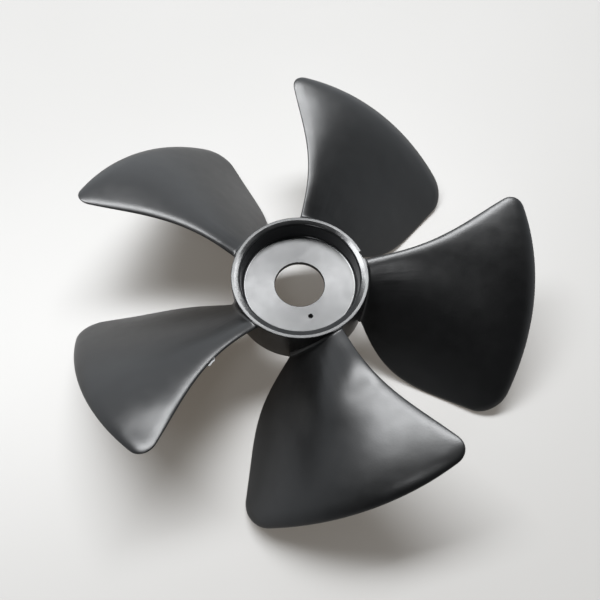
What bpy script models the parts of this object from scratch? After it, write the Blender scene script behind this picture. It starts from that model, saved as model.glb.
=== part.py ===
"""Axial fan impeller, 200 mm across: a cup-shaped hub and five swept blades in one plastic moulding.

It lies on a level surface with the cup open upward, as it stands on its five low blade corners.
Units are metres, +Z is up and is the axis of rotation. The origin is where the axis meets the surface.
"""
from math import atan2, cos, pi, radians, sin, sqrt, tan

import bmesh
import bpy

MM = 0.001

# Overall sizes
TIP_RADIUS = 100.0 * MM
BLADE_COUNT = 5
# The direction of the pitch line of the first blade, counter-clockwise from +X seen from above.
FIRST_BLADE_ANGLE = 0.0

# Hub: a drafted cup on a hollow skirt, with a floor between them
HUB_RADIUS = 29.3 * MM
HUB_BASE_RADIUS = 28.9 * MM
HUB_BASE_HEIGHT = 15.1 * MM
HUB_HEIGHT = 21.1 * MM
CUP_MOUTH_RADIUS = 25.7 * MM
CUP_FLOOR_RADIUS = 24.6 * MM
CUP_DEPTH = 7.9 * MM
FLOOR_THICKNESS = 2.0 * MM
SKIRT_WALL = 2.4 * MM
RIM_ROUND = 2.5 * MM
RIM_OUTER_CHAMFER = 0.2 * MM
FLOOR_FILLET = 0.8 * MM

# Openings in the hub
BORE_RADIUS = 10.8 * MM
PIN_HOLE_RADIUS = 1.1 * MM
PIN_HOLE_CIRCLE = 16.0 * MM
PIN_HOLE_ANGLE = -70.0
PIN_HOLE_DEPTH = 1.4 * MM
NOTCH_ANGLE = 24.5
NOTCH_LENGTH = 4.0 * MM
NOTCH_DEPTH = 2.6 * MM
NOTCH_FLOOR_RADIUS = 28.0 * MM

# Blade sections, from the hub to the tip: radius in mm, then the leading edge's angle and height,
# the trailing edge's angle and height, and the camber. Angles are in degrees from the blade's pitch
# line. The camber is how far the section bulges above its straight chord, as a share of the chord.
BLADE_SECTIONS = (
    (29.0, 21.2, 34.85, -20.8, 18.95, 0.136),
    (40.0, 17.8, 38.25, -30.0, 9.0, 0.135),
    (58.0, 17.7, 42.3, -32.5, 1.35, 0.145),
    (78.0, 20.9, 46.25, -29.9, 0.25, 0.145),
    (100.0, 23.5, 50.4, -27.5, 1.55, 0.089),
)
# How far the bulge leans towards the trailing edge
CAMBER_SHIFT_ROOT = -0.4
CAMBER_SHIFT_TIP = 0.3
# Half thicknesses, and the lengths over which the leading and the tip edge are rounded down to nothing
NOSE_HALF_ROOT = 1.4 * MM
NOSE_HALF_TIP = 0.75 * MM
TAIL_HALF = 0.9 * MM
NOSE_LENGTH = 4.5 * MM
TIP_EDGE_ROUND = 3.0 * MM
LEADING_CORNER = 7.2 * MM
TRAILING_CORNER = 10.0 * MM
BLADE_ROOT_RADIUS = 28.2 * MM
TIP_EDGE_FLAT = 0.3

# Facets
HUB_STEPS = 60
RIM_STEPS = 3
SPAN_ROWS = 10
CORNER_ROWS = 5
CHORD_STATIONS = 10
EDGE_STATIONS = 3
PIN_HOLE_SIDES = 12
SLOPE_STEP = 0.002
CUT_MARGIN = 1.0 * MM
MERGE_DISTANCE = 0.00005
SHARP_ANGLE = 35.0

# Finish: black plastic with a soft gloss
PLASTIC_COLOUR = (0.012, 0.012, 0.013, 1.0)
PLASTIC_ROUGHNESS = 0.3

HUB_TOP = HUB_BASE_HEIGHT + HUB_HEIGHT
FLOOR_TOP = HUB_TOP - CUP_DEPTH
FLOOR_UNDERSIDE = FLOOR_TOP - FLOOR_THICKNESS


def clear_scene():
    for item in list(bpy.data.objects):
        bpy.data.objects.remove(item)


def make_collection(name):
    collection = bpy.data.collections.new(name)
    bpy.context.scene.collection.children.link(collection)
    return collection


def plastic_material():
    material = bpy.data.materials.new("black_plastic")
    material.use_nodes = True
    shader = material.node_tree.nodes["Principled BSDF"]
    shader.inputs["Base Color"].default_value = PLASTIC_COLOUR
    shader.inputs["Roughness"].default_value = PLASTIC_ROUGHNESS
    shader.inputs["Metallic"].default_value = 0.0
    return material


def object_from_bmesh(name, mesh_builder, collection):
    mesh = bpy.data.meshes.new(name)
    mesh_builder.to_mesh(mesh)
    mesh_builder.free()
    item = bpy.data.objects.new(name, mesh)
    collection.objects.link(item)
    return item


def mark_as_cutter(item):
    item.hide_render = True
    item.display_type = "WIRE"


def rim_round_points():
    """The rounding from the cup's drafted wall up to the rim's flat top."""
    draft = atan2(CUP_MOUTH_RADIUS - CUP_FLOOR_RADIUS, CUP_DEPTH)
    full_turn = 0.5 * pi - draft
    centre_radius = CUP_MOUTH_RADIUS + RIM_ROUND * tan(0.5 * full_turn)
    points = []
    for step in range(RIM_STEPS + 1):
        turn = 0.5 * pi + full_turn * (1.0 - step / RIM_STEPS)
        points.append((centre_radius + RIM_ROUND * cos(turn), HUB_TOP - RIM_ROUND + RIM_ROUND * sin(turn)))
    return tuple(points)


def hub_profile():
    """The hub's closed section at +X, as (radius, height) points down its outer side and back up inside."""
    skirt_inside = HUB_BASE_RADIUS - SKIRT_WALL
    return (
        (HUB_RADIUS - RIM_OUTER_CHAMFER, HUB_TOP),
        (HUB_RADIUS, HUB_TOP - RIM_OUTER_CHAMFER),
        (HUB_BASE_RADIUS, HUB_BASE_HEIGHT),
        (skirt_inside, HUB_BASE_HEIGHT),
        (skirt_inside, FLOOR_UNDERSIDE),
        (BORE_RADIUS, FLOOR_UNDERSIDE),
        (BORE_RADIUS, FLOOR_TOP),
        (CUP_FLOOR_RADIUS - FLOOR_FILLET, FLOOR_TOP),
        (CUP_FLOOR_RADIUS + FLOOR_FILLET * 0.3, FLOOR_TOP + FLOOR_FILLET),
    ) + rim_round_points()


def make_hub(collection):
    builder = bmesh.new()
    corners = [builder.verts.new((radius, 0.0, height)) for radius, height in hub_profile()]
    for first, second in zip(corners, corners[1:] + corners[:1]):
        builder.edges.new((first, second))
    hub = object_from_bmesh("fan_impeller", builder, collection)
    turn = hub.modifiers.new("turned_hub", "SCREW")
    turn.axis = "Z"
    turn.angle = 2.0 * pi
    turn.steps = HUB_STEPS
    turn.render_steps = HUB_STEPS
    turn.use_merge_vertices = True
    turn.merge_threshold = MERGE_DISTANCE
    return hub


def through_sections(radius, column):
    """A smooth curve through the blade's sections, for one of their columns."""
    at = radius / MM
    total = 0.0
    for section in BLADE_SECTIONS:
        weight = 1.0
        for other in BLADE_SECTIONS:
            if other is not section:
                weight *= (at - other[0]) / (section[0] - other[0])
        total += weight * section[column]
    return total


def corner_inset(radius, corner):
    """How far a rounded tip corner cuts into the chord at this radius."""
    past = radius - (TIP_RADIUS - corner)
    if past <= 0.0:
        return 0.0
    return corner - sqrt(max(corner * corner - past * past, 0.0))


def span_radii():
    """Radii of the lofted sections: even along the span, then closer round the tip corners."""
    corner_start = TIP_RADIUS - TRAILING_CORNER
    step = (corner_start - BLADE_ROOT_RADIUS) / SPAN_ROWS
    straight = [BLADE_ROOT_RADIUS + step * row for row in range(SPAN_ROWS)]
    turns = [0.5 * pi * row / CORNER_ROWS for row in range(CORNER_ROWS + 1)]
    return straight + [corner_start + TRAILING_CORNER * sin(turn) for turn in turns]


def chord_stations(chord, nose, tail):
    """Positions along a section from its leading edge, with the half thickness there as a share of the
    full one, so the nose comes out as half an ellipse and the tail round."""
    stations = []
    for step in range(EDGE_STATIONS):
        turn = 0.5 * pi * step / EDGE_STATIONS
        stations.append((nose * (1.0 - cos(turn)) / chord, sin(turn)))
    first = nose / chord
    last = 1.0 - tail / chord
    for step in range(CHORD_STATIONS + 1):
        stations.append((first + (last - first) * step / CHORD_STATIONS, 1.0))
    for step in reversed(range(EDGE_STATIONS)):
        turn = 0.5 * pi * step / EDGE_STATIONS
        stations.append((1.0 - tail * (1.0 - cos(turn)) / chord, sin(turn)))
    return stations


def along_span(radius, at_root, at_tip):
    """A value that changes evenly from the hub to the tip."""
    return at_root + (at_tip - at_root) * (radius - HUB_RADIUS) / (TIP_RADIUS - HUB_RADIUS)


def middle_height(radius, share):
    """Height of the blade's middle surface, share 0 at the leading edge and 1 at the trailing edge."""
    lead = through_sections(radius, 2) * MM
    trail = through_sections(radius, 4) * MM
    sweep = radians(through_sections(radius, 1) - through_sections(radius, 3))
    lean = 1.0 + along_span(radius, CAMBER_SHIFT_ROOT, CAMBER_SHIFT_TIP) * (share - 0.5)
    bulge = through_sections(radius, 5) * radius * sweep * lean * 4.0 * share * (1.0 - share)
    return lead + (trail - lead) * share + bulge


def section_points(radius):
    """The upper and lower points of one blade section, from the leading edge to the trailing edge."""
    lead = radians(through_sections(radius, 1))
    trail = radians(through_sections(radius, 3))
    full_sweep = lead - trail
    lead_cut = corner_inset(radius, LEADING_CORNER) / radius
    trail_cut = corner_inset(radius, TRAILING_CORNER) / radius
    to_tip = min((TIP_RADIUS - radius) / TIP_EDGE_ROUND, 1.0)
    edge_round = max(sqrt(1.0 - (1.0 - to_tip) ** 2), TIP_EDGE_FLAT)
    nose = along_span(radius, NOSE_HALF_ROOT, NOSE_HALF_TIP)
    chord = (full_sweep - lead_cut - trail_cut) * radius
    upper = []
    lower = []
    for station, fullness in chord_stations(chord, NOSE_LENGTH, TAIL_HALF):
        angle = lead - lead_cut - station * chord / radius
        share = (lead - angle) / full_sweep
        half = (nose + (TAIL_HALF - nose) * station) * fullness * edge_round
        # The section's slope in the plane that wraps round the axis at this radius
        rise = middle_height(radius, share + SLOPE_STEP) - middle_height(radius, share - SLOPE_STEP)
        run = 2.0 * SLOPE_STEP * full_sweep * radius
        length = sqrt(rise * rise + run * run)
        shift_along = half * rise / length
        shift_up = half * run / length
        height = middle_height(radius, share)
        for side, points in ((1.0, upper), (-1.0, lower)):
            turned = angle + side * shift_along / radius
            turned_height = height + side * shift_up
            points.append((radius * cos(turned), radius * sin(turned), turned_height))
    return upper, lower


def make_blade(name, angle, collection):
    """A blade lofted through its sections, closed at the root and at the tip."""
    builder = bmesh.new()
    rows = []
    for radius in span_radii():
        upper, lower = section_points(radius)
        # The two ends of a section are single points shared by both sides
        loop = upper + lower[-2:0:-1]
        rows.append([builder.verts.new(point) for point in loop])
    size = len(rows[0])
    tail = size // 2
    for inner, outer in zip(rows, rows[1:]):
        for at in range(size):
            after = (at + 1) % size
            # Both sides are split along the same diagonal, so the thin twisted skin can't cross itself
            if at < tail:
                builder.faces.new((inner[at], inner[after], outer[after]))
                builder.faces.new((inner[at], outer[after], outer[at]))
            else:
                builder.faces.new((inner[at], inner[after], outer[at]))
                builder.faces.new((inner[after], outer[after], outer[at]))
    for row in (rows[0], rows[-1]):
        builder.faces.new((row[0], row[1], row[-1]))
        for at in range(1, tail - 1):
            builder.faces.new((row[at], row[at + 1], row[-at - 1], row[-at]))
        builder.faces.new((row[tail - 1], row[tail], row[tail + 1]))
    bmesh.ops.recalc_face_normals(builder, faces=builder.faces)
    blade = object_from_bmesh(name, builder, collection)
    blade.rotation_euler = (0.0, 0.0, radians(angle))
    mark_as_cutter(blade)
    return blade


def make_bar_cutter(name, size, place, angle, collection):
    """A rectangular cutter, turned about +Z."""
    builder = bmesh.new()
    bmesh.ops.create_cube(builder, size=1.0)
    bmesh.ops.scale(builder, vec=size, verts=builder.verts)
    cutter = object_from_bmesh(name, builder, collection)
    cutter.location = place
    cutter.rotation_euler = (0.0, 0.0, angle)
    mark_as_cutter(cutter)
    return cutter


def make_pin_cutter(collection):
    builder = bmesh.new()
    bmesh.ops.create_cone(
        builder,
        cap_ends=True,
        segments=PIN_HOLE_SIDES,
        radius1=PIN_HOLE_RADIUS,
        radius2=PIN_HOLE_RADIUS,
        depth=PIN_HOLE_DEPTH + CUT_MARGIN,
    )
    cutter = object_from_bmesh("pin_hole_cutter", builder, collection)
    angle = radians(PIN_HOLE_ANGLE)
    middle = FLOOR_TOP + 0.5 * (CUT_MARGIN - PIN_HOLE_DEPTH)
    cutter.location = (PIN_HOLE_CIRCLE * cos(angle), PIN_HOLE_CIRCLE * sin(angle), middle)
    mark_as_cutter(cutter)
    return cutter


def make_notch_cutter(collection):
    outside = HUB_RADIUS + CUT_MARGIN
    angle = radians(NOTCH_ANGLE)
    reach = 0.5 * (outside + NOTCH_FLOOR_RADIUS)
    size = (outside - NOTCH_FLOOR_RADIUS, NOTCH_LENGTH, NOTCH_DEPTH + CUT_MARGIN)
    place = (reach * cos(angle), reach * sin(angle), HUB_TOP + 0.5 * (CUT_MARGIN - NOTCH_DEPTH))
    return make_bar_cutter("rim_notch_cutter", size, place, angle, collection)


def bake(item):
    """Replace the object's mesh by the evaluated one, and shade its round faces smooth."""
    shape = item.evaluated_get(bpy.context.evaluated_depsgraph_get())
    mesh = bpy.data.meshes.new_from_object(shape)
    item.modifiers.clear()
    item.data = mesh
    mesh.shade_smooth()
    mesh.set_sharp_from_angle(angle=radians(SHARP_ANGLE))


def combine(body, tool, operation):
    step = body.modifiers.new(tool.name, "BOOLEAN")
    step.operation = operation
    step.object = tool
    step.solver = "EXACT"


def main():
    clear_scene()
    parts = make_collection("axial_fan_impeller")
    tools = make_collection("cutters")
    impeller = make_hub(parts)
    for number in range(BLADE_COUNT):
        angle = FIRST_BLADE_ANGLE + 360.0 / BLADE_COUNT * number
        combine(impeller, make_blade(f"blade_{number + 1}", angle, tools), "UNION")
    combine(impeller, make_pin_cutter(tools), "DIFFERENCE")
    combine(impeller, make_notch_cutter(tools), "DIFFERENCE")
    bake(impeller)
    impeller.data.materials.clear()
    impeller.data.materials.append(plastic_material())


main()
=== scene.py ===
"""Looks of a one-piece moulded axial fan impeller: fine surfaces, black plastic, a pale table, soft light.

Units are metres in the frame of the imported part: +Z is the axis of rotation, and the table is at height 0.
"""
from math import atan2, cos, hypot, pi, radians, sin, sqrt, tan

import bmesh
import bpy
from mathutils import Matrix, Vector


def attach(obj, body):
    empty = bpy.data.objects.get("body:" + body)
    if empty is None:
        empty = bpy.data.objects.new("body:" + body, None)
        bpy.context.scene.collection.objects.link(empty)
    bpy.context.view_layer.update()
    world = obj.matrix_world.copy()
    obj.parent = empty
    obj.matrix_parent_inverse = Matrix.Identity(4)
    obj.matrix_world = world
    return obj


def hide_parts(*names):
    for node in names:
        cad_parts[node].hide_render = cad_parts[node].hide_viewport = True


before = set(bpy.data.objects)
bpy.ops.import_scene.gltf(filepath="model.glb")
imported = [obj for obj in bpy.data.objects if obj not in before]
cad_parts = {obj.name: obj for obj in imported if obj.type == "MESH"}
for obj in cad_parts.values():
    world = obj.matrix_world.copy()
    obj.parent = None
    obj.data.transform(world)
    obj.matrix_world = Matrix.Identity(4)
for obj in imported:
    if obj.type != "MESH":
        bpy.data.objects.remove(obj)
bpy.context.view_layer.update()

MM = 0.001

# Overall sizes
TIP_RADIUS = 100.0 * MM
BLADE_COUNT = 5

# Hub
HUB_RADIUS = 29.3 * MM
HUB_BASE_RADIUS = 28.9 * MM
HUB_BASE_HEIGHT = 15.1 * MM
HUB_HEIGHT = 21.1 * MM
CUP_MOUTH_RADIUS = 25.7 * MM
CUP_FLOOR_RADIUS = 24.6 * MM
CUP_DEPTH = 7.9 * MM
FLOOR_THICKNESS = 2.0 * MM
SKIRT_WALL = 2.4 * MM
RIM_SLOPE_RADIUS = 27.9 * MM
RIM_SLOPE_DROP = 0.5 * MM
RIM_INNER_ROUND = 1.0 * MM
RIM_OUTER_ROUND = 0.35 * MM
SMALL_ROUND = 0.25 * MM
FLOOR_FILLET = 1.0 * MM
BORE_RADIUS = 10.8 * MM
PIN_HOLE_RADIUS = 1.1 * MM
PIN_HOLE_CIRCLE = 16.0 * MM
PIN_HOLE_ANGLE = -70.0
PIN_HOLE_DEPTH = 1.4 * MM
PIN_HOLE_END_RADIUS = 0.05 * MM
NOTCH_ANGLE = 24.5
NOTCH_LENGTH = 4.0 * MM
NOTCH_DEPTH = 2.6 * MM
NOTCH_FLOOR_RADIUS = 28.0 * MM
HUB_TOP = HUB_BASE_HEIGHT + HUB_HEIGHT
FLOOR_TOP = HUB_TOP - CUP_DEPTH
FLOOR_UNDERSIDE = FLOOR_TOP - FLOOR_THICKNESS

# Blade sections, from the hub to the tip: radius in mm, then the leading edge's angle and height,
# the trailing edge's angle and height, and the camber. Angles are in degrees from the blade's pitch
# line. The camber is how far the section bulges above its straight chord, as a share of the chord.
BLADE_SECTIONS = (
    (29.0, 21.2, 34.85, -20.8, 18.95, 0.136),
    (40.0, 17.8, 38.25, -30.0, 9.0, 0.135),
    (58.0, 17.7, 42.3, -32.5, 1.35, 0.145),
    (78.0, 20.9, 46.25, -29.9, 0.25, 0.145),
    (100.0, 23.5, 50.4, -27.5, 1.55, 0.089),
)
CAMBER_SHIFT_ROOT = -0.4
CAMBER_SHIFT_TIP = 0.3
# Half thicknesses, and the lengths over which the leading and the tip edge are rounded down to nothing.
# The roll is how far the tip edge hangs below the middle surface, as a share of the half thickness.
NOSE_HALF_ROOT = 1.4 * MM
NOSE_HALF_TIP = 0.75 * MM
TAIL_HALF = 0.9 * MM
NOSE_LENGTH = 4.5 * MM
TIP_EDGE_ROUND = 5.5 * MM
TIP_ROLL = 0.85
LEADING_CORNER = 7.2 * MM
TRAILING_CORNER = 10.0 * MM
BLADE_ROOT_RADIUS = 28.2 * MM
ROOT_FILLET = 1.2 * MM
FLARE_LEAST = 0.06
TIP_FLAT = 0.002 * MM
RIM_DROP = 0.1 * MM
ROOT_RISE = 3.0

# A sliver of flash on the leading edge of one blade
FLASH_BLADE = 3
FLASH_START_RADIUS = 51.5 * MM
FLASH_END_RADIUS = 57.5 * MM
FLASH_REACH = 0.7 * MM
FLASH_ROOT = 1.5 * MM
FLASH_THICKNESS = 0.15 * MM
# The share of the edge's rise that the sliver follows, and the part of its length that has its full reach
FLASH_RISE = 0.45
FLASH_FULL_FROM = 0.25
FLASH_FULL_TO = 0.8

# Mesh fineness
HUB_STEPS = 180
ARC_STEPS = 10
SPAN_ROWS = 44
CORNER_ROWS = 16
CHORD_STATIONS = 56
EDGE_STATIONS = 9
PIN_HOLE_SIDES = 32
TABLE_CELLS = 4
SLOPE_STEP = 0.002
SHARP_ANGLE = 35.0
LEVEL_NORMAL = 0.999
UPRIGHT_NORMAL = 0.3
CUT_MARGIN = 1.0 * MM
MERGE_DISTANCE = 0.02 * MM

# Camera, fitted to the photograph as a pinhole
IMAGE_WIDTH = 600.0
NEAREST_SEEN = 10.0 * MM
FOCAL_PIXELS = 716.8
SENSOR_WIDTH = 36.0
CAMERA_ELEVATION = 62.92
CAMERA_ROLL = 3.356
CAMERA_DISTANCE = 336.54 * MM
CAMERA_ACROSS = 0.94 * MM
CAMERA_UP = 6.34 * MM
AIM_HEIGHT = -0.81 * MM

# Light: azimuth from +Y towards +X and elevation above the table in degrees
LIGHT_DISTANCE = 1.6
KEY_AZIMUTH = -24.9
KEY_ELEVATION = 64.4
KEY_TILT = 4.8
KEY_WIDTH = 1.76
KEY_DEPTH = 0.393
KEY_RADIANCE = 27.3
KEY_COLOUR = (0.985, 1.0, 1.015)
FILL_AZIMUTH = -157.7
FILL_ELEVATION = 63.0
FILL_SIZE = 0.3
FILL_RADIANCE = 8.5
ROOM_LEVEL = 1.1
ROOM_SLOPE = (-0.1, 0.7, -1.13)
ROOM_LEAST = 0.05
ROOM_COLOUR = (0.95, 1.0, 1.05, 1.0)
TABLE_HALF = 3.0

# Finishes: noise scales are in waves per metre, and a detail is a count of finer layers of noise
PLASTIC_DARK = (0.0012, 0.0012, 0.0013, 1.0)
PLASTIC_LIGHT = (0.0024, 0.0024, 0.0025, 1.0)
# Painted light: a faint grey mixed into the cup's shaded upright wall, to lighten it as stray light would;
# the second value is its share
PAINTED_LIGHT_GREY = (0.06, 0.06, 0.062, 1.0)
WALL_PAINTED_LIGHT = 0.6
BLADE_ROUGHNESS = 0.335
CUP_ROUGHNESS = 0.17
FLOOR_ROUGHNESS = 0.34
FLOOR_ANISOTROPY = 0.6
CLOUD_SCALE = 45.0
CLOUD_DETAIL = 3.0
MOTTLE_SCALE = 210.0
MOTTLE_DETAIL = 2.0
ROUGHNESS_SPREAD = 0.045
WAVE_SCALE = 75.0
WAVE_DETAIL = 1.0
WAVE_HEIGHT = 0.22 * MM
STREAKS_PER_RADIAN = 9.0
STREAK_STRETCH = 22.0
STREAK_DETAIL = 2.0
STREAK_HEIGHT = 0.22 * MM
STREAK_START_RADIUS = 31.0 * MM
STREAK_FULL_RADIUS = 37.0 * MM
STREAK_END_RADIUS = 60.0 * MM
GRAIN_SCALE = 1400.0
GRAIN_DETAIL = 2.0
GRAIN_HEIGHT = 0.014 * MM
# Shallow swellings of two blades: place, radius and height in mm
SWELLS = (
    ((24.0, -41.0, 42.0), 14.0, 0.7),
    ((14.0, -52.0, 32.0), 22.0, 1.4),
    ((-55.0, -63.0, 45.2), 16.0, 0.5),
)
SPECK_SCALE = 900.0
SPECK_DETAIL = 1.0
SPECK_START = 0.76
SPECK_FULL = 0.84
SPECK_ROUGHNESS = 0.15
RING_SCALE = 900.0
RING_DETAIL = 2.0
RING_HEIGHT = 0.012 * MM
TURNED_SLOT = 1
SLOPE_SLOT = 2
WALL_SLOT = 3
TABLE_DARK = (0.266, 0.265, 0.262, 1.0)
TABLE_LIGHT = (0.280, 0.279, 0.276, 1.0)
TABLE_SCALE = 12.0
TABLE_DETAIL = 4.0
TABLE_ROUGHNESS = 0.45
# Painted light: the table glows faintly warm, lifting its shadows in place of fill light from the room
TABLE_PAINTED_FILL_COLOUR = (1.0, 0.85, 0.68, 1.0)
TABLE_PAINTED_FILL = 0.105


def link_to_scene(item):
    bpy.context.scene.collection.objects.link(item)
    return item


def object_from_bmesh(name, builder):
    mesh = bpy.data.meshes.new(name)
    builder.to_mesh(mesh)
    builder.free()
    return link_to_scene(bpy.data.objects.new(name, mesh))


def rounded_profile(corners):
    """A closed outline in (radius, height) whose corners are rounded by the third number of each."""
    outline = []
    count = len(corners)
    for at, (radius, height, rounding) in enumerate(corners):
        corner = Vector((radius, height))
        if rounding <= 0.0:
            outline.append(corner)
            continue
        before = (Vector(corners[at - 1][:2]) - corner).normalized()
        after = (Vector(corners[(at + 1) % count][:2]) - corner).normalized()
        half_angle = 0.5 * before.angle(after)
        setback = rounding / tan(half_angle)
        centre = corner + (before + after).normalized() * (rounding / sin(half_angle))
        start = corner + before * setback - centre
        end = corner + after * setback - centre
        turn = start.angle_signed(end)
        for step in range(ARC_STEPS + 1):
            share = turn * step / ARC_STEPS
            turned = Vector((
                start.x * cos(share) + start.y * sin(share),
                -start.x * sin(share) + start.y * cos(share),
            ))
            outline.append(centre + turned)
    return outline


def hub_corners():
    """The hub's section at +X, down its outer side and back up inside, with the rounding of each corner."""
    skirt_inside = HUB_BASE_RADIUS - SKIRT_WALL
    draft = (CUP_MOUTH_RADIUS - CUP_FLOOR_RADIUS) / CUP_DEPTH
    return (
        (HUB_RADIUS, HUB_TOP, RIM_OUTER_ROUND),
        (HUB_BASE_RADIUS, HUB_BASE_HEIGHT, RIM_OUTER_ROUND),
        (skirt_inside, HUB_BASE_HEIGHT, RIM_OUTER_ROUND),
        (skirt_inside, FLOOR_UNDERSIDE, FLOOR_FILLET),
        (BORE_RADIUS, FLOOR_UNDERSIDE, SMALL_ROUND),
        (BORE_RADIUS, FLOOR_TOP, SMALL_ROUND),
        (CUP_FLOOR_RADIUS, FLOOR_TOP, FLOOR_FILLET),
        (CUP_MOUTH_RADIUS - draft * RIM_SLOPE_DROP, HUB_TOP - RIM_SLOPE_DROP, RIM_INNER_ROUND),
        (RIM_SLOPE_RADIUS, HUB_TOP, SMALL_ROUND),
    )


def make_hub():
    builder = bmesh.new()
    ring = [builder.verts.new((point.x, 0.0, point.y)) for point in rounded_profile(hub_corners())]
    for first, second in zip(ring, ring[1:] + ring[:1]):
        builder.edges.new((first, second))
    hub = object_from_bmesh("impeller_moulding", builder)
    turn = hub.modifiers.new("turned_hub", "SCREW")
    turn.axis = "Z"
    turn.angle = 2.0 * pi
    turn.steps = HUB_STEPS
    turn.render_steps = HUB_STEPS
    turn.use_merge_vertices = True
    turn.merge_threshold = MERGE_DISTANCE
    return hub


def through_sections(radius, column):
    """A smooth curve through the blade's sections, for one of their columns."""
    at = radius / MM
    total = 0.0
    for section in BLADE_SECTIONS:
        weight = 1.0
        for other in BLADE_SECTIONS:
            if other is not section:
                weight *= (at - other[0]) / (section[0] - other[0])
        total += weight * section[column]
    return total


def corner_inset(radius, corner):
    past = radius - (TIP_RADIUS - corner)
    if past <= 0.0:
        return 0.0
    return corner - sqrt(max(corner * corner - past * past, 0.0))


def along_span(radius, at_root, at_tip):
    """A value that changes evenly from the hub to the tip."""
    return at_root + (at_tip - at_root) * (radius - HUB_RADIUS) / (TIP_RADIUS - HUB_RADIUS)


def middle_height(radius, share):
    """Height of the blade's middle surface, share 0 at the leading edge and 1 at the trailing edge."""
    lead = through_sections(radius, 2) * MM
    trail = through_sections(radius, 4) * MM
    sweep = radians(through_sections(radius, 1) - through_sections(radius, 3))
    lean = 1.0 + along_span(radius, CAMBER_SHIFT_ROOT, CAMBER_SHIFT_TIP) * (share - 0.5)
    bulge = through_sections(radius, 5) * radius * sweep * lean * 4.0 * share * (1.0 - share)
    return lead + (trail - lead) * share + bulge


def edge_depth(from_side, from_tip, corner, side_round):
    """How far a point lies inside a blade's rounded border: 0 on its edge, 1 or more on the full body."""
    if from_side < corner and from_tip < corner:
        turn = atan2(corner - from_tip, corner - from_side) / (0.5 * pi)
        rounding = side_round + (TIP_EDGE_ROUND - side_round) * turn
        return (corner - hypot(corner - from_side, corner - from_tip)) / rounding
    return min(from_side / side_round, from_tip / TIP_EDGE_ROUND)


def rounded_share(depth):
    """Half thickness at a depth inside a rounded border, as a share of the full one."""
    inside = min(max(depth, 0.0), 1.0)
    return sqrt(1.0 - (1.0 - inside) ** 2)


def root_flare(radius):
    """How much a blade thickens where it runs into the hub."""
    away = max(radius - HUB_RADIUS, FLARE_LEAST * ROOT_FILLET)
    if away >= ROOT_FILLET:
        return 0.0
    return ROOT_FILLET - sqrt(ROOT_FILLET ** 2 - (ROOT_FILLET - away) ** 2)


def span_radii():
    """Radii of the sections: even along the span, then closer and closer towards the tip."""
    root = [BLADE_ROOT_RADIUS]
    turns = [0.5 * pi * row / EDGE_STATIONS for row in range(EDGE_STATIONS)]
    flare = [HUB_RADIUS + ROOT_FILLET * (1.0 - cos(turn)) for turn in turns]
    start = HUB_RADIUS + ROOT_FILLET
    corner_start = TIP_RADIUS - TRAILING_CORNER
    span = [start + (corner_start - start) * row / SPAN_ROWS for row in range(SPAN_ROWS)]
    turns = [0.5 * pi * row / CORNER_ROWS for row in range(CORNER_ROWS + 1)]
    return root + flare + span + [corner_start + TRAILING_CORNER * sin(turn) for turn in turns]


def chord_shares(chord, nose, tail):
    """Positions along a section from its leading edge, close together at both ends."""
    shares = []
    for step in range(EDGE_STATIONS):
        shares.append(nose * (1.0 - cos(0.5 * pi * step / EDGE_STATIONS)) / chord)
    first = nose / chord
    last = 1.0 - tail / chord
    for step in range(CHORD_STATIONS + 1):
        shares.append(first + (last - first) * step / CHORD_STATIONS)
    for step in reversed(range(EDGE_STATIONS)):
        shares.append(1.0 - tail * (1.0 - cos(0.5 * pi * step / EDGE_STATIONS)) / chord)
    return shares


def section_points(radius):
    """The upper and lower points of one blade section, from the leading edge to the trailing edge."""
    flare = root_flare(radius)
    lead = radians(through_sections(radius, 1))
    trail = radians(through_sections(radius, 3))
    full_sweep = lead - trail
    lead_cut = (corner_inset(radius, LEADING_CORNER) - flare) / radius
    trail_cut = (corner_inset(radius, TRAILING_CORNER) - flare) / radius
    nose = along_span(radius, NOSE_HALF_ROOT, NOSE_HALF_TIP)
    chord = (full_sweep - lead_cut - trail_cut) * radius
    # Beside the hub the nose stays under the rim's top
    highest = HUB_TOP - RIM_DROP + ROOT_RISE * max(radius - HUB_RADIUS, 0.0)
    upper = []
    lower = []
    for station in chord_shares(chord, NOSE_LENGTH + flare, TAIL_HALF + flare):
        angle = lead - lead_cut - station * chord / radius
        share = (lead - angle) / full_sweep
        full = nose + (TAIL_HALF - nose) * station + flare
        from_tip = max(TIP_RADIUS - radius, TIP_FLAT)
        from_lead = (lead - angle) * radius + flare
        from_trail = (angle - trail) * radius + flare
        lead_depth = edge_depth(from_lead, from_tip, LEADING_CORNER, NOSE_LENGTH + flare)
        trail_depth = edge_depth(from_trail, from_tip, TRAILING_CORNER, TAIL_HALF + flare)
        half = full * rounded_share(min(lead_depth, trail_depth))
        rise = middle_height(radius, share + SLOPE_STEP) - middle_height(radius, share - SLOPE_STEP)
        run = 2.0 * SLOPE_STEP * full_sweep * radius
        length = hypot(rise, run)
        roll = TIP_ROLL * (1.0 - rounded_share(from_tip / TIP_EDGE_ROUND))
        height = middle_height(radius, share) - full * roll
        for side, points in ((1.0, upper), (-1.0, lower)):
            turned = angle + side * half * rise / length / radius
            turned_height = min(height + side * half * run / length, highest)
            points.append(Vector((radius * cos(turned), radius * sin(turned), turned_height)))
    return upper, lower


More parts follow.
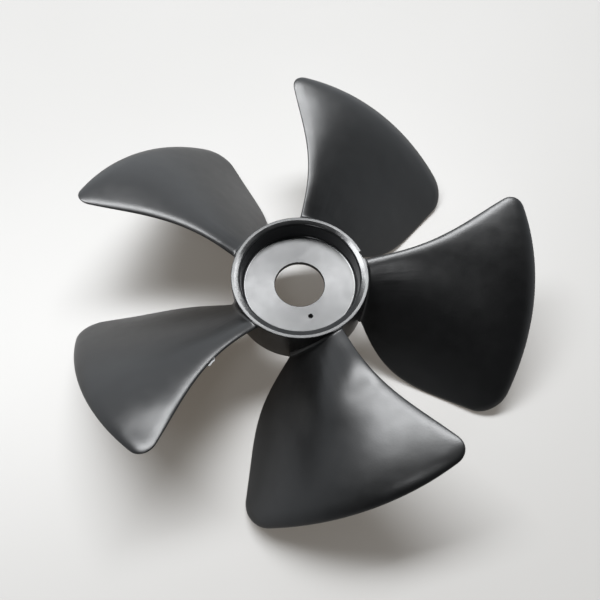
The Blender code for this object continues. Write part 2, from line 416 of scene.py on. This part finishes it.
def blade_mesh():
    """A blade lofted through its sections: the two sides share their rim and their tip line."""
    builder = bmesh.new()
    rows = []
    radii = span_radii()
    for radius in radii:
        upper, lower = section_points(radius)
        rows.append([builder.verts.new(point) for point in upper + lower[-2:0:-1]])
    size = len(rows[0])
    tail = size // 2
    for inner, outer in zip(rows, rows[1:]):
        for at in range(size):
            after = (at + 1) % size
            if at < tail:
                builder.faces.new((inner[at], inner[after], outer[after]))
                builder.faces.new((inner[at], outer[after], outer[at]))
            else:
                builder.faces.new((inner[at], inner[after], outer[at]))
                builder.faces.new((inner[after], outer[after], outer[at]))
    for row in (rows[0], rows[-1]):
        builder.faces.new((row[0], row[1], row[-1]))
        for at in range(1, tail - 1):
            builder.faces.new((row[at], row[at + 1], row[-at - 1], row[-at]))
        builder.faces.new((row[tail - 1], row[tail], row[tail + 1]))
    bmesh.ops.recalc_face_normals(builder, faces=builder.faces)
    mesh = bpy.data.meshes.new("blade")
    builder.to_mesh(mesh)
    builder.free()
    return mesh


def flash_sliver():
    """A thin fin that stands out from a blade's leading edge and rises with only a share of its slope."""
    length = FLASH_END_RADIUS - FLASH_START_RADIUS
    pitch = 2.0 * pi * FLASH_BLADE / BLADE_COUNT
    middle = middle_height(FLASH_START_RADIUS + 0.5 * length, 0.0)
    corners = (
        (0.0, -FLASH_ROOT),
        (FLASH_FULL_FROM, FLASH_REACH),
        (FLASH_FULL_TO, FLASH_REACH),
        (1.0, -FLASH_ROOT),
    )
    builder = bmesh.new()
    layers = []
    for side in (-0.5, 0.5):
        layer = []
        for along, reach in corners:
            radius = FLASH_START_RADIUS + along * length
            angle = pitch + radians(through_sections(radius, 1)) + reach / radius
            height = middle + FLASH_RISE * (middle_height(radius, 0.0) - middle)
            point = (radius * cos(angle), radius * sin(angle), height + side * FLASH_THICKNESS)
            layer.append(builder.verts.new(point))
        layers.append(layer)
    lower, upper = layers
    for at in range(len(upper)):
        builder.faces.new((lower[at - 1], lower[at], upper[at], upper[at - 1]))
    builder.faces.new(lower)
    builder.faces.new(upper)
    bmesh.ops.recalc_face_normals(builder, faces=builder.faces)
    return object_from_bmesh("flash_sliver", builder)


def pin_hole_cutter():
    """A cone that narrows downward, so the recess ends in a point."""
    narrowing = (PIN_HOLE_RADIUS - PIN_HOLE_END_RADIUS) / PIN_HOLE_DEPTH
    top_radius = PIN_HOLE_RADIUS + narrowing * CUT_MARGIN
    builder = bmesh.new()
    bmesh.ops.create_cone(
        builder, cap_ends=True, segments=PIN_HOLE_SIDES, radius1=PIN_HOLE_END_RADIUS, radius2=top_radius,
        depth=PIN_HOLE_DEPTH + CUT_MARGIN)
    angle = radians(PIN_HOLE_ANGLE)
    middle = FLOOR_TOP + 0.5 * (CUT_MARGIN - PIN_HOLE_DEPTH)
    place = (PIN_HOLE_CIRCLE * cos(angle), PIN_HOLE_CIRCLE * sin(angle), middle)
    bmesh.ops.translate(builder, vec=place, verts=builder.verts)
    return object_from_bmesh("pin_hole_cutter", builder)


def notch_cutter():
    outside = HUB_RADIUS + CUT_MARGIN
    builder = bmesh.new()
    bmesh.ops.create_cube(builder, size=1.0)
    size = (outside - NOTCH_FLOOR_RADIUS, NOTCH_LENGTH, NOTCH_DEPTH + CUT_MARGIN)
    bmesh.ops.scale(builder, vec=size, verts=builder.verts)
    place = (0.5 * (outside + NOTCH_FLOOR_RADIUS), 0.0, HUB_TOP + 0.5 * (CUT_MARGIN - NOTCH_DEPTH))
    bmesh.ops.translate(builder, vec=place, verts=builder.verts)
    turn = Matrix.Rotation(radians(NOTCH_ANGLE), 3, "Z")
    bmesh.ops.rotate(builder, cent=(0.0, 0.0, 0.0), matrix=turn, verts=builder.verts)
    return object_from_bmesh("rim_notch_cutter", builder)


def combine(body, tool, operation):
    step = body.modifiers.new(tool.name, "BOOLEAN")
    step.operation = operation
    step.object = tool
    step.solver = "EXACT"


def make_impeller():
    """The hub and its blades joined into one closed skin, as the moulding is."""
    hub = make_hub()
    tools = []
    mesh = blade_mesh()
    for number in range(BLADE_COUNT):
        blade = link_to_scene(bpy.data.objects.new(f"blade_{number + 1}", mesh))
        blade.rotation_euler = (0.0, 0.0, 2.0 * pi * number / BLADE_COUNT)
        combine(hub, blade, "UNION")
        tools.append(blade)
    sliver = flash_sliver()
    combine(hub, sliver, "UNION")
    tools.append(sliver)
    for cutter in (pin_hole_cutter(), notch_cutter()):
        combine(hub, cutter, "DIFFERENCE")
        tools.append(cutter)
    bpy.context.view_layer.update()
    shape = hub.evaluated_get(bpy.context.evaluated_depsgraph_get())
    skin = bpy.data.meshes.new_from_object(shape)
    hub.modifiers.clear()
    hub.data = skin
    for tool in tools:
        bpy.data.objects.remove(tool)
    skin.shade_smooth()
    skin.set_sharp_from_angle(angle=radians(SHARP_ANGLE))
    return hub


def new_material(name):
    material = bpy.data.materials.new(name)
    material.use_nodes = True
    return material, material.node_tree.nodes, material.node_tree.links


def noise(nodes, links, place, scale, detail):
    texture = nodes.new("ShaderNodeTexNoise")
    texture.inputs["Scale"].default_value = scale
    texture.inputs["Detail"].default_value = detail
    links.new(place, texture.inputs["Vector"])
    return texture.outputs["Fac"]


def maths(nodes, links, operation, first, second):
    """A math node: each input is a socket or a number."""
    node = nodes.new("ShaderNodeMath")
    node.operation = operation
    for socket, value in zip(node.inputs, (first, second)):
        if isinstance(value, float):
            socket.default_value = value
        else:
            links.new(value, socket)
    return node.outputs[0]


def vector_maths(nodes, links, operation, first, second=None):
    """A vector math node: the first input is a socket, the second a socket or a fixed vector."""
    node = nodes.new("ShaderNodeVectorMath")
    node.operation = operation
    links.new(first, node.inputs[0])
    if isinstance(second, tuple):
        node.inputs[1].default_value = second
    elif second is not None:
        links.new(second, node.inputs[1])
    return node


def mix_colours(nodes, links, share, first, second):
    """A colour between two others: each is a socket or a fixed colour."""
    node = nodes.new("ShaderNodeMix")
    node.data_type = "RGBA"
    links.new(share, node.inputs["Factor"])
    for name, value in (("A", first), ("B", second)):
        if isinstance(value, tuple):
            node.inputs[name].default_value = value
        else:
            links.new(value, node.inputs[name])
    return node.outputs["Result"]


def fade(nodes, links, value, start, end, start_value, end_value):
    """A value that runs from one level to another between two places, and keeps level past both."""
    node = nodes.new("ShaderNodeMapRange")
    node.inputs["From Min"].default_value = start
    node.inputs["From Max"].default_value = end
    node.inputs["To Min"].default_value = start_value
    node.inputs["To Max"].default_value = end_value
    links.new(value, node.inputs["Value"])
    return node.outputs["Result"]


def raise_surface(nodes, links, height, distance, below=None):
    node = nodes.new("ShaderNodeBump")
    node.inputs["Strength"].default_value = 1.0
    node.inputs["Distance"].default_value = distance
    links.new(height, node.inputs["Height"])
    if below is not None:
        links.new(below, node.inputs["Normal"])
    return node.outputs["Normal"]


def off_axis(nodes, links, place):
    """The part of a place that points away from the axis, and its length."""
    flat = vector_maths(nodes, links, "MULTIPLY", place, (1.0, 1.0, 0.0)).outputs["Vector"]
    return flat, vector_maths(nodes, links, "LENGTH", flat).outputs["Value"]


def streaks(nodes, links, place):
    """Flow marks that run outward from the hub and die away along the blade."""
    outward, radius = off_axis(nodes, links, place)
    turn = vector_maths(nodes, links, "NORMALIZE", outward)
    spread = vector_maths(nodes, links, "SCALE", turn.outputs["Vector"])
    spread.inputs["Scale"].default_value = STREAKS_PER_RADIAN
    along = nodes.new("ShaderNodeCombineXYZ")
    links.new(maths(nodes, links, "MULTIPLY", radius, STREAK_STRETCH), along.inputs["Z"])
    both = vector_maths(nodes, links, "ADD", spread.outputs["Vector"], along.outputs["Vector"])
    lines = noise(nodes, links, both.outputs["Vector"], 1.0, STREAK_DETAIL)
    begun = fade(nodes, links, radius, STREAK_START_RADIUS, STREAK_FULL_RADIUS, 0.0, 1.0)
    left = fade(nodes, links, radius, STREAK_FULL_RADIUS, STREAK_END_RADIUS, 1.0, 0.0)
    strength = maths(nodes, links, "MULTIPLY", begun, left)
    return maths(nodes, links, "MULTIPLY", lines, strength)


def swell(nodes, links, place, centre, radius):
    """A shallow swelling of a blade, where the plastic cooled unevenly."""
    away = vector_maths(nodes, links, "DISTANCE", place, tuple(value * MM for value in centre))
    height = fade(nodes, links, away.outputs["Value"], 0.0, radius * MM, 1.0, 0.0)
    height.node.interpolation_type = "SMOOTHERSTEP"
    return height


def moulded_skin_group():
    """Cloudy tone and gloss, slow waves, flow streaks and a fine grain, for every finish of the plastic,
    with a grey of painted light mixed in where a finish asks for it.
    """
    group = bpy.data.node_groups.new("moulded_skin", "ShaderNodeTree")
    group.interface.new_socket("Roughness", in_out="INPUT", socket_type="NodeSocketFloat")
    group.interface.new_socket("Painted Light", in_out="INPUT", socket_type="NodeSocketFloat")
    group.interface.new_socket("Tone", in_out="OUTPUT", socket_type="NodeSocketColor")
    group.interface.new_socket("Roughness", in_out="OUTPUT", socket_type="NodeSocketFloat")
    group.interface.new_socket("Normal", in_out="OUTPUT", socket_type="NodeSocketVector")
    nodes = group.nodes
    links = group.links
    given = nodes.new("NodeGroupInput")
    result = nodes.new("NodeGroupOutput")
    place = nodes.new("ShaderNodeTexCoord").outputs["Object"]
    cloud = noise(nodes, links, place, CLOUD_SCALE, CLOUD_DETAIL)
    tone = mix_colours(nodes, links, cloud, PLASTIC_DARK, PLASTIC_LIGHT)
    # Painted light: the given share greys the tone, lightening a shaded face
    tone = mix_colours(nodes, links, given.outputs["Painted Light"], tone, PAINTED_LIGHT_GREY)
    links.new(tone, result.inputs["Tone"])
    mottle = noise(nodes, links, place, MOTTLE_SCALE, MOTTLE_DETAIL)
    shift = fade(nodes, links, mottle, 0.0, 1.0, -ROUGHNESS_SPREAD, ROUGHNESS_SPREAD)
    specks = noise(nodes, links, place, SPECK_SCALE, SPECK_DETAIL)
    dust = fade(nodes, links, specks, SPECK_START, SPECK_FULL, 0.0, SPECK_ROUGHNESS)
    rough = maths(nodes, links, "ADD", given.outputs["Roughness"], shift)
    links.new(maths(nodes, links, "ADD", rough, dust), result.inputs["Roughness"])
    waves = noise(nodes, links, place, WAVE_SCALE, WAVE_DETAIL)
    normal = raise_surface(nodes, links, waves, WAVE_HEIGHT)
    normal = raise_surface(nodes, links, streaks(nodes, links, place), STREAK_HEIGHT, normal)
    for centre, radius, height in SWELLS:
        swelling = swell(nodes, links, place, centre, radius)
        normal = raise_surface(nodes, links, swelling, height * MM, normal)
    grain = noise(nodes, links, place, GRAIN_SCALE, GRAIN_DETAIL)
    links.new(raise_surface(nodes, links, grain, GRAIN_HEIGHT, normal), result.inputs["Normal"])
    return group


def plastic_material(name, skin_group, roughness, painted_light=0.0):
    """Black plastic: almost all of its light comes from its gloss, and a share of faint grey can be mixed in
    as painted light on a shaded face.
    """
    material, nodes, links = new_material(name)
    shader = nodes["Principled BSDF"]
    skin = nodes.new("ShaderNodeGroup")
    skin.node_tree = skin_group
    skin.inputs["Roughness"].default_value = roughness
    skin.inputs["Painted Light"].default_value = painted_light
    links.new(skin.outputs["Tone"], shader.inputs["Base Color"])
    links.new(skin.outputs["Roughness"], shader.inputs["Roughness"])
    links.new(skin.outputs["Normal"], shader.inputs["Normal"])
    return material


def turned_plastic_material(skin_group):
    """The cup's floor and the rim's top, turned in the mould: their gloss spreads to and from the axis."""
    material = plastic_material("black_plastic_turned", skin_group, FLOOR_ROUGHNESS)
    nodes = material.node_tree.nodes
    links = material.node_tree.links
    shader = nodes["Principled BSDF"]
    shader.inputs["Anisotropic"].default_value = FLOOR_ANISOTROPY
    outward, radius = off_axis(nodes, links, nodes.new("ShaderNodeTexCoord").outputs["Object"])
    links.new(outward, shader.inputs["Tangent"])
    along = nodes.new("ShaderNodeCombineXYZ")
    links.new(radius, along.inputs["X"])
    rings = noise(nodes, links, along.outputs["Vector"], RING_SCALE, RING_DETAIL)
    skin_normal = shader.inputs["Normal"].links[0].from_socket
    links.new(raise_surface(nodes, links, rings, RING_HEIGHT, skin_normal), shader.inputs["Normal"])
    return material


def finish_plastic(impeller):
    """The moulded finish all over, the turned one on the hub's level faces, smooth ones in the cup, the
    upright wall greyed by painted light.
    """
    skin_group = moulded_skin_group()
    mesh = impeller.data
    mesh.materials.clear()
    mesh.materials.append(plastic_material("black_plastic_moulded", skin_group, BLADE_ROUGHNESS))
    mesh.materials.append(turned_plastic_material(skin_group))
    mesh.materials.append(plastic_material("black_plastic_slope", skin_group, CUP_ROUGHNESS))
    # The cup's upright wall gets the painted light: a faint grey that lightens its shade
    mesh.materials.append(plastic_material("black_plastic_wall", skin_group, CUP_ROUGHNESS, WALL_PAINTED_LIGHT))
    middle_of_rim = 0.5 * (CUP_MOUTH_RADIUS + HUB_RADIUS)
    for face in mesh.polygons:
        away = hypot(face.center.x, face.center.y)
        height = face.center.z
        if away < HUB_RADIUS and height > FLOOR_TOP - SMALL_ROUND and face.normal.z > LEVEL_NORMAL:
            face.material_index = TURNED_SLOT
        elif away < middle_of_rim and height > FLOOR_TOP:
            face.material_index = WALL_SLOT if abs(face.normal.z) < UPRIGHT_NORMAL else SLOPE_SLOT


def table_material():
    """A pale matt table, with a faint unevenness and a faint warm glow: the glow is painted light that lifts
    the table's shadows in place of fill light.
    """
    material, nodes, links = new_material("pale_table")
    shader = nodes["Principled BSDF"]
    place = nodes.new("ShaderNodeTexCoord").outputs["Object"]
    cloud = noise(nodes, links, place, TABLE_SCALE, TABLE_DETAIL)
    tone = mix_colours(nodes, links, cloud, TABLE_DARK, TABLE_LIGHT)
    links.new(tone, shader.inputs["Base Color"])
    # Painted light: a faint warm glow that lifts the table's shadows
    shader.inputs["Emission Color"].default_value = TABLE_PAINTED_FILL_COLOUR
    shader.inputs["Emission Strength"].default_value = TABLE_PAINTED_FILL
    shader.inputs["Roughness"].default_value = TABLE_ROUGHNESS
    return material


def make_table():
    builder = bmesh.new()
    bmesh.ops.create_grid(builder, x_segments=TABLE_CELLS, y_segments=TABLE_CELLS, size=TABLE_HALF)
    table = object_from_bmesh("table", builder)
    table.data.materials.append(table_material())


def viewing_axes(elevation, roll):
    """Right, up and back of a camera that looks along +Y from above, rolled about its own axis."""
    back = Vector((0.0, -cos(elevation), sin(elevation)))
    level_right = Vector((1.0, 0.0, 0.0))
    level_up = back.cross(level_right)
    right = cos(roll) * level_right + sin(roll) * level_up
    up = -sin(roll) * level_right + cos(roll) * level_up
    return right, up, back


def make_camera():
    right, up, back = viewing_axes(radians(CAMERA_ELEVATION), radians(CAMERA_ROLL))
    place = back * CAMERA_DISTANCE + right * CAMERA_ACROSS + up * CAMERA_UP + Vector((0.0, 0.0, AIM_HEIGHT))
    data = bpy.data.cameras.new("camera")
    data.sensor_fit = "HORIZONTAL"
    data.sensor_width = SENSOR_WIDTH
    data.lens = FOCAL_PIXELS / IMAGE_WIDTH * SENSOR_WIDTH
    data.clip_start = NEAREST_SEEN
    camera = link_to_scene(bpy.data.objects.new("camera", data))
    axes = Matrix((right, up, back)).transposed()
    camera.matrix_world = Matrix.Translation(place) @ axes.to_4x4()
    bpy.context.scene.camera = camera


def direction(azimuth, elevation):
    """A unit vector: azimuth from +Y towards +X, elevation above the table, both in degrees."""
    level = cos(radians(elevation))
    return Vector((sin(radians(azimuth)) * level, cos(radians(azimuth)) * level, sin(radians(elevation))))


def make_softbox(name, azimuth, elevation, tilt, width, depth, radiance, colour):
    """A rectangular light that faces the impeller, its long side level but for the tilt."""
    data = bpy.data.lights.new(name, "AREA")
    data.shape = "RECTANGLE"
    data.size = width
    data.size_y = depth
    data.energy = radiance * pi * width * depth
    data.color = colour
    light = link_to_scene(bpy.data.objects.new(name, data))
    towards = direction(azimuth, elevation)
    level = towards.cross(Vector((0.0, 0.0, 1.0))).normalized()
    rising = level.cross(towards)
    across = cos(radians(tilt)) * level + sin(radians(tilt)) * rising
    axes = Matrix((across, towards.cross(across), towards)).transposed()
    light.matrix_world = Matrix.Translation(towards * LIGHT_DISTANCE) @ axes.to_4x4()


def make_world():
    """A dim room, brighter towards the far side."""
    world = bpy.data.worlds.new("soft_room")
    bpy.context.scene.world = world
    world.use_nodes = True
    nodes = world.node_tree.nodes
    links = world.node_tree.links
    place = nodes.new("ShaderNodeTexCoord").outputs["Generated"]
    slope = vector_maths(nodes, links, "DOT_PRODUCT", place, ROOM_SLOPE)
    lift = maths(nodes, links, "ADD", slope.outputs["Value"], ROOM_LEVEL)
    strength = maths(nodes, links, "MAXIMUM", lift, ROOM_LEAST)
    links.new(strength, nodes["Background"].inputs["Strength"])
    nodes["Background"].inputs["Color"].default_value = ROOM_COLOUR


def main():
    scene = bpy.context.scene
    scene.view_settings.view_transform = "Standard"
    make_camera()
    make_world()
    make_softbox(
        "key", KEY_AZIMUTH, KEY_ELEVATION, KEY_TILT, KEY_WIDTH, KEY_DEPTH, KEY_RADIANCE, KEY_COLOUR)
    make_softbox(
        "fill", FILL_AZIMUTH, FILL_ELEVATION, 0.0, FILL_SIZE, FILL_SIZE, FILL_RADIANCE, KEY_COLOUR)
    make_table()
    impeller = make_impeller()
    finish_plastic(impeller)
    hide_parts("fan_impeller")
    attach(impeller, "root")


main()
